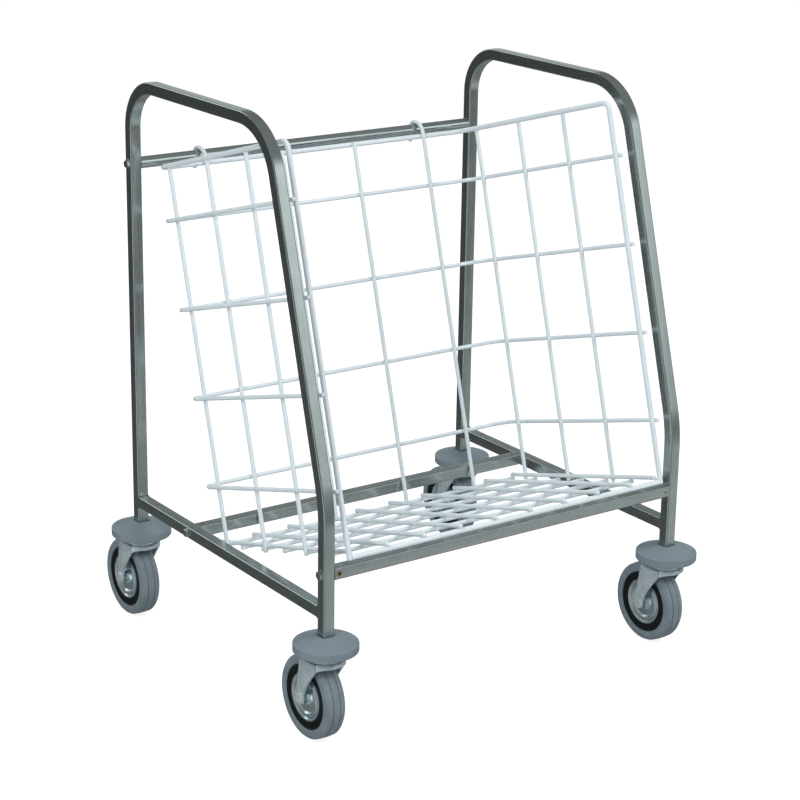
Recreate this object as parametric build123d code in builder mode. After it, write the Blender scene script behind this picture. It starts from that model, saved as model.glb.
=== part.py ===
from build123d import *
import math
import os

# Tray return trolley. Two bent square-tube side frames are joined by a round bar and two cross
# rails, and stand on four swivel casters with round bumpers. A welded wire basket leans back
# between them: two of its uprights hook over the bar, its back lies against the rear cross rail
# and its floor runs out over the front one. Trays go in from the front, which faces -Y. The
# origin is on the floor, below the middle of the trolley's outline.

# Side frames, of square stainless tube
FRAME_WIDTH = 630.0  # between the legs' centre lines, left to right
FRAME_DEPTH = 531.0  # between the legs' centre lines, front to rear
OVERALL_HEIGHT = 870.0  # floor to the top of the handles
TUBE = 18.0
TUBE_WALL = 1.5
REAR_BEND_RADIUS = 70.0
FRONT_BEND_RADIUS = 91.0
KNEE_BEND_RADIUS = 220.0
FRONT_LEG_SLOPE = 16.0  # degrees off vertical above the knee
KNEE_HEIGHT = 356.0

# Rails and bar; heights are to their centre lines
SIDE_RAIL_HEIGHT = 200.0  # and of the rear cross rail
REAR_RAIL_SETBACK = 162.0  # from the rear legs forward to the rear cross rail
BAR_HEIGHT = 738.0
BAR_DIAMETER = 18.0

# Basket, of coated wire drawn with eight flats
BAR_SETBACK = 18.0  # from the rear of the basket's back to the bar's centre line
RIM_DROP = 12.5  # from the bar's centre line down the back to the rim's
REAR_SEAT_HEIGHT = 31.8  # where the rear rail's edge meets the back, above the floor bars' underside
FRONT_RAIL_GAP = 9.8  # between the floor bars and the front rail's top rear edge
SIDE_CLEARANCE = 11.0  # between the hoops and each side frame
FRONT_REACH = 23.0  # from the front rail's top rear edge forward to the basket's front wire
WIRE = 6.5
RIM_WIRE = 8.0
CORNER_BEND_RADIUS = 28.0
RIM_BEND_RADIUS = 12.0
HOOPS = 4
LOWEST_HOOP_HEIGHT = 90.0  # above the underside of the floor bars
TOP_HOOP_DROP = 80.5  # below the rim
SIDE_UPRIGHTS = 3
REAR_UPRIGHT_INSET = 36.5  # from the rear of the back to the rearmost side uprights
BACK_UPRIGHT_PITCH = 135.0
FLOOR_BARS = 8
FLOOR_EDGE_GAP = 56.5  # between the outermost floor bars and the edge bars beside them
CROSS_WIRES = 6
WIRE_OVERHANG = 3.0  # of a wire's end past the wire that it is welded to
HOOK_SHOULDER_RADIUS = 21.0
HOOK_TAIL = 22.0  # below the bar's centre line
SEAT_GAP = 0.4  # between the basket and the bar and rear rail that carry it

# Casters
WHEEL_DIAMETER = 125.0
WHEEL_WIDTH = 32.0
CASTER_TRAIL = 32.0
CROWN_CLEARANCE = 6.0  # between the wheel and the fork's crown
AXLE_DIAMETER = 10.0
AXLE_NECK = 8.0  # across the square necks that keep the axle from turning in the fork
HEX_ACROSS_FLATS = 15.0
HEX_THICKNESS = 5.0
FORK_PLATE = 3.0
FORK_SIDE_GAP = 1.5  # between the wheel and each leg of the fork
FORK_TIP = 18.0  # across the lower end of each leg
FORK_REAR_REACH = 6.0  # from the axle back to the rear edge of the crown
FORK_KNEE_REACH = 18.0  # from the axle forward to the knee in each leg's front edge
FORK_KNEE_DROP = 28.0  # from the crown's underside down to that knee
HEAD_DIAMETER = 54.0
HEAD_THICKNESS = 7.0
RACE_GAP = 3.0  # between the fixed head and the fork's crown
KINGPIN_DIAMETER = 10.0
KINGPIN_NUT = 16.0
KINGPIN_NUT_THICKNESS = 2.5
AXIAL_GAP = 0.3
RUNNING_GAP = 0.05  # radial, in every bearing
PLUG_LENGTH = 45.0
PLUG_GAP = 0.1
BUMPER_DIAMETER = 94.0
BUMPER_TOP_DIAMETER = 30.0
BUMPER_RIM_THICKNESS = 12.0
BUMPER_CONE_HEIGHT = 11.0

wheel_radius = WHEEL_DIAMETER / 2
crown_bottom = WHEEL_DIAMETER + CROWN_CLEARANCE
crown_top = crown_bottom + FORK_PLATE
head_bottom = crown_top + RACE_GAP
leg_end = head_bottom + HEAD_THICKNESS
rear_reach = max(CASTER_TRAIL + wheel_radius, BUMPER_DIAMETER / 2)
front_reach = max(wheel_radius - CASTER_TRAIL, BUMPER_DIAMETER / 2)
rear_leg = (FRAME_DEPTH + front_reach - rear_reach) / 2
front_leg = rear_leg - FRAME_DEPTH
leg_side = FRAME_WIDTH / 2
between_frames = FRAME_WIDTH - TUBE
sides = (("left", -1), ("right", 1))
leg_centres = [(side * leg_side, y) for y in (front_leg, rear_leg) for _, side in sides]

os.makedirs("parts", exist_ok=True)


def save(part, name):
    part.label = name
    export_step(part, "parts/" + name + ".step")


def square_tube():
    Rectangle(TUBE, TUBE)
    Rectangle(TUBE - 2 * TUBE_WALL, TUBE - 2 * TUBE_WALL, mode=Mode.SUBTRACT)


def octagon(across_flats):
    RegularPolygon(across_flats / 2, 8, major_radius=False, rotation=22.5)


# Each side frame is one tube: up the rear leg, forward along the handle and down the front leg
handle_height = OVERALL_HEIGHT - TUBE / 2
handle_front = front_leg + (handle_height - KNEE_HEIGHT) * math.tan(math.radians(FRONT_LEG_SLOPE))
for name, side in sides:
    with BuildPart() as side_frame:
        with BuildLine(Plane.YZ.offset(side * leg_side)) as centre_line:
            FilletPolyline(
                (rear_leg, leg_end),
                (rear_leg, handle_height),
                (handle_front, handle_height),
                (front_leg, KNEE_HEIGHT),
                (front_leg, leg_end),
                radius=(REAR_BEND_RADIUS, FRONT_BEND_RADIUS, KNEE_BEND_RADIUS),
            )
        with BuildSketch(Plane(origin=centre_line.line @ 0, z_dir=centre_line.line % 0)):
            square_tube()
        sweep(path=centre_line.line)
    save(side_frame.part, name + "_side_frame")

    with BuildPart() as side_rail:
        with BuildSketch(Plane.XZ.offset(-(front_leg + TUBE / 2))):
            with Locations((side * leg_side, SIDE_RAIL_HEIGHT)):
                square_tube()
        extrude(amount=-(FRAME_DEPTH - TUBE))
    save(side_rail.part, name + "_side_rail")

# The basket is drawn upright and then set on its tilted plane: x runs to the right, y to the rear
# and z up the back, with z = 0 at the underside of the floor bars. Its back, at y = 0, lies on the
# top front edge of the rear cross rail and passes in front of the bar, and so gets its tilt.
rear_rail = rear_leg - REAR_RAIL_SETBACK
rear_seat = Vector(0, rear_rail - TUBE / 2, SIDE_RAIL_HEIGHT + TUBE / 2)
seat_to_bar = Vector(0, rear_leg, BAR_HEIGHT) - rear_seat
bar_angle = math.asin((BAR_SETBACK - SEAT_GAP) / seat_to_bar.length)
tilt = math.atan2(seat_to_bar.Y, seat_to_bar.Z) - bar_angle
to_rear = Vector(0, math.cos(tilt), -math.sin(tilt))
to_rim = Vector(0, math.sin(tilt), math.cos(tilt))
basket_origin = rear_seat - to_rear * SEAT_GAP - to_rim * REAR_SEAT_HEIGHT
basket_plane = Plane(origin=basket_origin, x_dir=(1, 0, 0), z_dir=to_rim)
bar_centre = basket_plane.to_local_coords(Vector(0, rear_leg, BAR_HEIGHT))

# The front cross rail lies just below the basket's floor
under_floor = basket_origin - to_rim * FRONT_RAIL_GAP
front_rail_edge = under_floor + to_rear * ((front_leg + TUBE / 2 - under_floor.Y) / to_rear.Y)

# Cross rails and bar
for name, y, z in (
    ("front_cross_rail", front_leg, front_rail_edge.Z - TUBE / 2),
    ("rear_cross_rail", rear_rail, SIDE_RAIL_HEIGHT),
):
    with BuildPart() as cross_rail:
        with BuildSketch(Plane.YZ):
            with Locations((y, z)):
                square_tube()
        extrude(amount=between_frames / 2, both=True)
    save(cross_rail.part, name)

with BuildPart() as hanging_bar:
    with BuildSketch(Plane.YZ):
        with Locations((rear_leg, BAR_HEIGHT)):
            Circle(BAR_DIAMETER / 2)
    extrude(amount=between_frames / 2, both=True)
save(hanging_bar.part, "hanging_bar")

# The basket's wires stand inside its hoops: half_width is to the outside of the side uprights
half_width = between_frames / 2 - SIDE_CLEARANCE - WIRE
corner_x = half_width - RIM_WIRE / 2
corner_y = basket_plane.to_local_coords(front_rail_edge).Y - FRONT_REACH
wire_front = corner_y - RIM_WIRE / 2 - WIRE_OVERHANG
rim_height = bar_centre.Z - RIM_DROP
rim_underside = rim_height - RIM_WIRE / 2
rim_top = rim_height + RIM_WIRE / 2


def save_tilted(part, name):
    save(basket_plane.location * part, name)


# Rim: one wire, up a front corner, round the top and down the other corner
with BuildPart() as basket_rim:
    with BuildLine() as rim_line:
        FilletPolyline(
            (-corner_x, corner_y, -RIM_WIRE),
            (-corner_x, corner_y, rim_height),
            (-corner_x, RIM_WIRE / 2, rim_height),
            (corner_x, RIM_WIRE / 2, rim_height),
            (corner_x, corner_y, rim_height),
            (corner_x, corner_y, -RIM_WIRE),
            radius=(RIM_BEND_RADIUS, CORNER_BEND_RADIUS, CORNER_BEND_RADIUS, RIM_BEND_RADIUS),
        )
    with BuildSketch(Plane.XY.offset(-RIM_WIRE)):
        with Locations((-corner_x, corner_y)):
            octagon(RIM_WIRE)
    sweep(path=rim_line.line)
save_tilted(basket_rim.part, "basket_rim")

# Hoops: wires bent round the outside of the uprights, open to the front
hoop_x = half_width + WIRE / 2
hoop_pitch = (rim_height - TOP_HOOP_DROP - LOWEST_HOOP_HEIGHT) / (HOOPS - 1)
with BuildPart() as basket_hoops:
    for height in [LOWEST_HOOP_HEIGHT + i * hoop_pitch for i in range(HOOPS)]:
        with BuildLine(Plane.XY.offset(height)) as hoop_line:
            FilletPolyline(
                (-hoop_x, wire_front),
                (-hoop_x, WIRE / 2),
                (hoop_x, WIRE / 2),
                (hoop_x, wire_front),
                radius=CORNER_BEND_RADIUS,
            )
        with BuildSketch(Plane.XZ.offset(-wire_front)):
            with Locations((-hoop_x, height)):
                octagon(WIRE)
        sweep(path=hoop_line.line)
save_tilted(basket_hoops.part, "basket_hoops")

# Side uprights, from below the floor bars to the underside of the rim
side_upright_x = half_width - WIRE / 2
side_upright_pitch = (-REAR_UPRIGHT_INSET - corner_y) / SIDE_UPRIGHTS
side_upright_ys = [corner_y + (i + 1) * side_upright_pitch for i in range(SIDE_UPRIGHTS)]
with BuildPart() as side_uprights:
    with BuildSketch(Plane.XY.offset(-WIRE)):
        with Locations(*[(side * side_upright_x, y) for _, side in sides for y in side_upright_ys]):
            octagon(WIRE)
    extrude(amount=WIRE + rim_underside)
save_tilted(side_uprights.part, "basket_side_uprights")

# The two middle back uprights stop level with the top of the rim
with BuildPart() as back_uprights:
    with BuildSketch(Plane.XY.offset(-WIRE)):
        with Locations(*[(side * BACK_UPRIGHT_PITCH / 2, -WIRE / 2) for _, side in sides]):
            octagon(WIRE)
    extrude(amount=WIRE + rim_top)
save_tilted(back_uprights.part, "basket_back_uprights")

# The two outer back uprights run on past the rim and hook over the bar
hook_radius = BAR_DIAMETER / 2 + SEAT_GAP + WIRE / 2
level = Vector(0, math.cos(tilt), math.sin(tilt))  # the floor's horizontal, drawn upright
plumb = Vector(0, -math.sin(tilt), math.cos(tilt))
hook_rear = bar_centre + plumb * hook_radius + level * hook_radius
shoulder = hook_rear - level * ((hook_rear.Y + WIRE / 2) / level.Y)
tail_end = hook_rear - plumb * (hook_radius + HOOK_TAIL)
with BuildPart() as hook_uprights:
    for _, side in sides:
        x = side * 1.5 * BACK_UPRIGHT_PITCH
        with BuildLine(Plane.YZ.offset(x)) as hook_line:
            FilletPolyline(
                (-WIRE / 2, -WIRE),
                (shoulder.Y, shoulder.Z),
                (hook_rear.Y, hook_rear.Z),
                (tail_end.Y, tail_end.Z),
                radius=(HOOK_SHOULDER_RADIUS, hook_radius),
            )
        with BuildSketch(Plane.XY.offset(-WIRE)):
            with Locations((x, -WIRE / 2)):
                octagon(WIRE)
        sweep(path=hook_line.line)
save_tilted(hook_uprights.part, "basket_hook_uprights")

# Floor bars lie on the cross wires and on the thicker front wire, and the outer pair is welded
# to the side uprights
edge_bar_x = half_width - 1.5 * WIRE
outer_bar_x = edge_bar_x - FLOOR_EDGE_GAP
floor_bar_pitch = 2 * outer_bar_x / (FLOOR_BARS - 1)
floor_bar_xs = [i * floor_bar_pitch - outer_bar_x for i in range(FLOOR_BARS)]
with BuildPart() as floor_bars:
    with BuildSketch(Plane.XZ.offset(WIRE)):
        with Locations(*[(x, WIRE / 2) for x in floor_bar_xs]):
            octagon(WIRE)
    extrude(amount=-WIRE - wire_front)
    with BuildSketch(Plane.XZ.offset(WIRE)):
        with Locations(*[(side * edge_bar_x, WIRE / 2) for _, side in sides]):
            octagon(WIRE)
    extrude(amount=-WIRE - corner_y - RIM_WIRE / 2)
save_tilted(floor_bars.part, "basket_floor_bars")

cross_wire_pitch = (-1.5 * WIRE - corner_y) / CROSS_WIRES
cross_wire_ys = [corner_y + (i + 1) * cross_wire_pitch for i in range(CROSS_WIRES)]
with BuildPart() as cross_wires:
    with BuildSketch(Plane.YZ):
        with Locations(*[(y, -WIRE / 2) for y in cross_wire_ys]):
            octagon(WIRE)
    extrude(amount=half_width - WIRE, both=True)
save_tilted(cross_wires.part, "basket_cross_wires")

with BuildPart() as front_wire:
    with BuildSketch(Plane.YZ):
        with Locations((corner_y, -RIM_WIRE / 2)):
            octagon(RIM_WIRE)
    extrude(amount=half_width - RIM_WIRE, both=True)
save_tilted(front_wire.part, "basket_front_wire")

# Bumpers: one round each leg's end, with a square socket
bumper_top = leg_end + BUMPER_RIM_THICKNESS + BUMPER_CONE_HEIGHT
with BuildPart() as bumpers:
    with BuildSketch(Plane.XY.offset(leg_end)):
        with Locations(*leg_centres):
            Circle(BUMPER_DIAMETER / 2)
    extrude(amount=BUMPER_RIM_THICKNESS)
    for centre in leg_centres:
        with BuildSketch(Plane.XY.offset(bumper_top - BUMPER_CONE_HEIGHT)):
            with Locations(centre):
                Circle(BUMPER_DIAMETER / 2)
        with BuildSketch(Plane.XY.offset(bumper_top)):
            with Locations(centre):
                Circle(BUMPER_TOP_DIAMETER / 2)
        loft()
    with BuildSketch(Plane.XY.offset(leg_end)):
        with Locations(*leg_centres):
            Rectangle(TUBE, TUBE)
    extrude(amount=bumper_top - leg_end, mode=Mode.SUBTRACT)
save(bumpers.part, "bumpers")

# Swivel heads, fixed under the legs: a round plate and the kingpin that carries the fork
nut_top = crown_bottom - AXIAL_GAP
with BuildPart() as swivel_heads:
    with BuildSketch(Plane.XY.offset(leg_end)):
        with Locations(*leg_centres):
            Circle(HEAD_DIAMETER / 2)
    extrude(amount=-HEAD_THICKNESS)
    with BuildSketch(Plane.XY.offset(head_bottom)):
        with Locations(*leg_centres):
            Circle(KINGPIN_DIAMETER / 2)
    extrude(amount=nut_top - head_bottom)
    with BuildSketch(Plane.XY.offset(nut_top)):
        with Locations(*leg_centres):
            RegularPolygon(KINGPIN_NUT / 2, 6, major_radius=False)
    extrude(amount=-KINGPIN_NUT_THICKNESS)
save(swivel_heads.part, "swivel_heads")

# Plugs that fix the swivel heads inside the ends of the legs
with BuildPart() as leg_plugs:
    with BuildSketch(Plane.XY.offset(leg_end)):
        with Locations(*leg_centres):
            plug_width = TUBE - 2 * TUBE_WALL - 2 * PLUG_GAP
            Rectangle(plug_width, plug_width)
    extrude(amount=PLUG_LENGTH)
save(leg_plugs.part, "leg_plugs")

# Fork, axle and wheel of each caster; the wheel trails behind the swivel axis
fork_inside = WHEEL_WIDTH + 2 * FORK_SIDE_GAP
fork_outside = fork_inside + 2 * FORK_PLATE
tip_bottom = wheel_radius - FORK_TIP / 2
corners = [
    (end + "_" + name, side * leg_side, y)
    for end, y in (("front", front_leg), ("rear", rear_leg))
    for name, side in sides
]
for corner, x, y in corners:
    axle_y = y + CASTER_TRAIL
    with BuildPart() as fork:
        with BuildSketch(Plane.YZ.offset(x)):
            with BuildLine():
                Polyline(
                    (y - HEAD_DIAMETER / 2, crown_top),
                    (axle_y + FORK_REAR_REACH, crown_top),
                    (axle_y + FORK_TIP / 2, wheel_radius),
                    (axle_y + FORK_TIP / 4, tip_bottom),
                    (axle_y - FORK_TIP / 4, tip_bottom),
                    (axle_y - FORK_TIP / 2, wheel_radius),
                    (axle_y - FORK_KNEE_REACH, crown_bottom - FORK_KNEE_DROP),
                    (y - HEAD_DIAMETER / 2, crown_bottom),
                    close=True,
                )
            make_face()
        extrude(amount=fork_outside / 2, both=True)
        with BuildSketch(Plane.XY.offset(crown_bottom)):
            with Locations((x, axle_y)):
                Rectangle(fork_inside, 2 * WHEEL_DIAMETER)
        extrude(amount=-crown_bottom, mode=Mode.SUBTRACT)
        with BuildSketch(Plane.XY.offset(crown_bottom)):
            with Locations((x, y)):
                Circle(HEAD_DIAMETER / 2)
        extrude(amount=FORK_PLATE)
        with BuildSketch(Plane.XY.offset(crown_bottom)):
            with Locations((x, y)):
                Circle(KINGPIN_DIAMETER / 2 + RUNNING_GAP)
        extrude(amount=FORK_PLATE, mode=Mode.SUBTRACT)
        with BuildSketch(Plane.YZ.offset(x)):
            with Locations((axle_y, wheel_radius)):
                Rectangle(AXLE_NECK + 2 * RUNNING_GAP, AXLE_NECK + 2 * RUNNING_GAP)
        extrude(amount=fork_outside, both=True, mode=Mode.SUBTRACT)
    save(fork.part, corner + "_fork")

    with BuildPart() as axle:
        with BuildSketch(Plane.YZ.offset(x)):
            with Locations((axle_y, wheel_radius)):
                Circle(AXLE_DIAMETER / 2)
        extrude(amount=fork_inside / 2, both=True)
        for side in (-1, 1):
            with BuildSketch(Plane.YZ.offset(x + side * fork_inside / 2)):
                with Locations((axle_y, wheel_radius)):
                    Rectangle(AXLE_NECK, AXLE_NECK)
            extrude(amount=side * FORK_PLATE)
            with BuildSketch(Plane.YZ.offset(x + side * fork_outside / 2)):
                with Locations((axle_y, wheel_radius)):
                    RegularPolygon(HEX_ACROSS_FLATS / 2, 6, major_radius=False)
            extrude(amount=side * HEX_THICKNESS)
    save(axle.part, corner + "_axle")

    with BuildPart() as wheel:
        with BuildSketch(Plane.YZ.offset(x)):
            with Locations((axle_y, wheel_radius)):
                Circle(wheel_radius)
                Circle(AXLE_DIAMETER / 2 + RUNNING_GAP, mode=Mode.SUBTRACT)
        extrude(amount=WHEEL_WIDTH / 2, both=True)
    save(wheel.part, corner + "_wheel")
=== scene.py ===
import math

import bmesh
import bpy
from mathutils import Euler, Matrix, Vector


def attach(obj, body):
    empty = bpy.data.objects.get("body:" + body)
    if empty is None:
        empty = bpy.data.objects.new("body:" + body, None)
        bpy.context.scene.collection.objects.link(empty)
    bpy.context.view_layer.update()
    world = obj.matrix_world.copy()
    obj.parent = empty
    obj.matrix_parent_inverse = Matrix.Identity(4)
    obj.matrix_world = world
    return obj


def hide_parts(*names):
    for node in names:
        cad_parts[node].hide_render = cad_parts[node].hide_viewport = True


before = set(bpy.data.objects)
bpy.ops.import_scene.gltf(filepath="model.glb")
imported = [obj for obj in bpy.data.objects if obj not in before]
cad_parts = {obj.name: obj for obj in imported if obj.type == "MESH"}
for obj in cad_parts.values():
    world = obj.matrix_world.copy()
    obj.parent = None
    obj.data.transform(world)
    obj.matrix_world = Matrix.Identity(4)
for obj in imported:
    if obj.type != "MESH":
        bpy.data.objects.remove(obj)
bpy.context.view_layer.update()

# Tray return trolley: the look of every piece, drawn in millimetres in the CAD frame. The origin
# is on the floor, x runs to the right and y to the rear. Sizes are those of the part's source.
MM = 0.001

# Side frames, rails and bar, by their centre lines
FRAME_WIDTH, FRAME_DEPTH, OVERALL_HEIGHT = 630.0, 531.0, 870.0
KNEE_HEIGHT, LEG_END = 356.0, 144.0
FRONT_SLOPE = math.radians(16)
REAR_BEND, FRONT_BEND, KNEE_BEND = 70.0, 91.0, 220.0
TUBE, TUBE_CORNER = 18.0, 2.2
SIDE_RAIL_HEIGHT, REAR_RAIL_SETBACK = 200.0, 162.0
BAR_HEIGHT, BAR_RADIUS = 738.0, 9.0

# Casters and bumpers
WHEEL_RADIUS, TRAIL = 62.5, 32.0
BUMPER_RADIUS = 47.0

# Basket; WIRE and RIM_WIRE are the radii of its thin and thick wires
WIRE, RIM_WIRE = 3.25, 4.0
CORNER_BEND, RIM_BEND, SHOULDER_BEND = 28.0, 12.0, 21.0
BAR_SETBACK = 18.0  # from the rear of the basket's back to the bar's centre line
RIM_DROP = 12.5  # from the bar's centre line down the back to the rim's
REAR_SEAT_HEIGHT = 31.8  # where the rear rail's edge meets the back, above the floor bars' underside
SEAT_GAP = 0.4  # between the basket and the bar and rear rail that carry it
FRONT_RAIL_GAP = 9.8  # between the floor bars and the front rail's top rear edge
FRONT_REACH = 23.0  # from that edge forward to the front wire
SIDE_CLEARANCE = 11.0  # between the hoops and each side frame
HOOPS, LOWEST_HOOP = 4, 90.0
TOP_HOOP_DROP = 80.5  # below the rim
SIDE_UPRIGHTS = 3
REAR_UPRIGHT_INSET = 36.5  # from the rear of the back to the rearmost side uprights
BACK_UPRIGHT_PITCH = 135.0
FLOOR_BARS, CROSS_WIRES = 8, 6
FLOOR_EDGE_GAP = 56.5  # between the outermost floor bars and the edge bars beside them
WIRE_OVERHANG = 3.0  # of a wire's end past the wire that it is welded to
HOOK_TAIL = 22.0  # below the bar's centre line

# The outline, from the front bumpers to the rear wheels, lies centred on the origin
LEG_X = FRAME_WIDTH / 2
INSIDE = LEG_X - TUBE / 2
REAR_LEG = (FRAME_DEPTH + BUMPER_RADIUS - TRAIL - WHEEL_RADIUS) / 2
FRONT_LEG = REAR_LEG - FRAME_DEPTH
REAR_RAIL = REAR_LEG - REAR_RAIL_SETBACK
HANDLE = OVERALL_HEIGHT - TUBE / 2
HANDLE_FRONT = FRONT_LEG + (HANDLE - KNEE_HEIGHT) * math.tan(FRONT_SLOPE)
SIDES = (("left", -1), ("right", 1))
CORNERS = [(end + "_" + name, side * LEG_X, y)
           for end, y in (("front", FRONT_LEG), ("rear", REAR_LEG)) for name, side in SIDES]

# The basket's own plane: y to the rear and z up its back, from the floor bars' underside. The
# back lies on the top front edge of the rear rail and passes in front of the bar, and the floor
# runs out over the top rear edge of the front rail, which is at front_edge in this plane.
seat_y, seat_z = REAR_RAIL - TUBE / 2, SIDE_RAIL_HEIGHT + TUBE / 2
to_bar_y, to_bar_z = REAR_LEG - seat_y, BAR_HEIGHT - seat_z
lean = math.asin((BAR_SETBACK - SEAT_GAP) / math.hypot(to_bar_y, to_bar_z))
TILT = math.atan2(to_bar_y, to_bar_z) - lean
COS, SIN = math.cos(TILT), math.sin(TILT)
ORIGIN_Y = seat_y - COS * SEAT_GAP - SIN * REAR_SEAT_HEIGHT
ORIGIN_Z = seat_z + SIN * SEAT_GAP - COS * REAR_SEAT_HEIGHT
BAR_IN_BASKET = SIN * (REAR_LEG - ORIGIN_Y) + COS * (BAR_HEIGHT - ORIGIN_Z)
RIM_HEIGHT = BAR_IN_BASKET - RIM_DROP
front_edge = (FRONT_LEG + TUBE / 2 - ORIGIN_Y + SIN * FRONT_RAIL_GAP) / COS
FRONT_RAIL_HEIGHT = ORIGIN_Z - COS * FRONT_RAIL_GAP - SIN * front_edge - TUBE / 2

# Where the basket's wires run
CORNER_Y = front_edge - FRONT_REACH
WIRE_FRONT = CORNER_Y - RIM_WIRE - WIRE_OVERHANG
HALF_WIDTH = INSIDE - SIDE_CLEARANCE - 2 * WIRE
CORNER_X, HOOP_X = HALF_WIDTH - RIM_WIRE, HALF_WIDTH + WIRE
UPRIGHT_X, EDGE_X = HALF_WIDTH - WIRE, HALF_WIDTH - 3 * WIRE
outer_bar = EDGE_X - FLOOR_EDGE_GAP
hoop_pitch = (RIM_HEIGHT - TOP_HOOP_DROP - LOWEST_HOOP) / (HOOPS - 1)
side_pitch = (-REAR_UPRIGHT_INSET - CORNER_Y) / SIDE_UPRIGHTS
cross_pitch = (-3 * WIRE - CORNER_Y) / CROSS_WIRES
HOOP_ZS = [LOWEST_HOOP + i * hoop_pitch for i in range(HOOPS)]
SIDE_YS = [-REAR_UPRIGHT_INSET - i * side_pitch for i in range(SIDE_UPRIGHTS)]
CROSS_YS = [CORNER_Y + (i + 1) * cross_pitch for i in range(CROSS_WIRES)]
FLOOR_XS = [i * 2 * outer_bar / (FLOOR_BARS - 1) - outer_bar for i in range(FLOOR_BARS)]
BACK_XS = [side * BACK_UPRIGHT_PITCH / 2 for _, side in SIDES]
HOOK_XS = [side * BACK_UPRIGHT_PITCH * 1.5 for _, side in SIDES]


# Shapes

def basket(x, y, z):
    """A point of the tilted basket."""
    return Vector((x, ORIGIN_Y + COS * y + SIN * z, ORIGIN_Z - SIN * y + COS * z))


def bent(points, radii, step=5.0, steps=None):
    """The points joined by straight runs, with an arc of the given radius at each corner."""
    points = [Vector(p) for p in points]
    path = [points[0]]
    for before, corner, after, radius in zip(points, points[1:], points[2:], radii):
        u, v = (before - corner).normalized(), (after - corner).normalized()
        half = u.angle(v) / 2
        turn = math.pi - 2 * half
        centre = corner + (u + v).normalized() * radius / math.sin(half)
        start = corner + u * radius / math.tan(half) - centre
        end = corner + v * radius / math.tan(half) - centre
        count = steps or max(2, math.ceil(math.degrees(turn) / step))
        for i in range(count + 1):
            t = i / count
            arc = (start * math.sin((1 - t) * turn) + end * math.sin(t * turn)) / math.sin(turn)
            path.append(centre + arc)
    path.append(points[-1])
    return [p for i, p in enumerate(path) if i == 0 or (p - path[i - 1]).length > 1e-4]


def circle(radius, count):
    turn = 2 * math.pi / count
    return [(radius * math.cos(i * turn), radius * math.sin(i * turn)) for i in range(count)]


def rounded_square(half, radius, steps=4):
    points = []
    flat = half - radius
    for quarter, (a, b) in enumerate(((1, 1), (-1, 1), (-1, -1), (1, -1))):
        for i in range(steps + 1):
            turn = math.radians(90 * (quarter + i / steps))
            points.append((a * flat + radius * math.cos(turn), b * flat + radius * math.sin(turn)))
    return points


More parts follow.
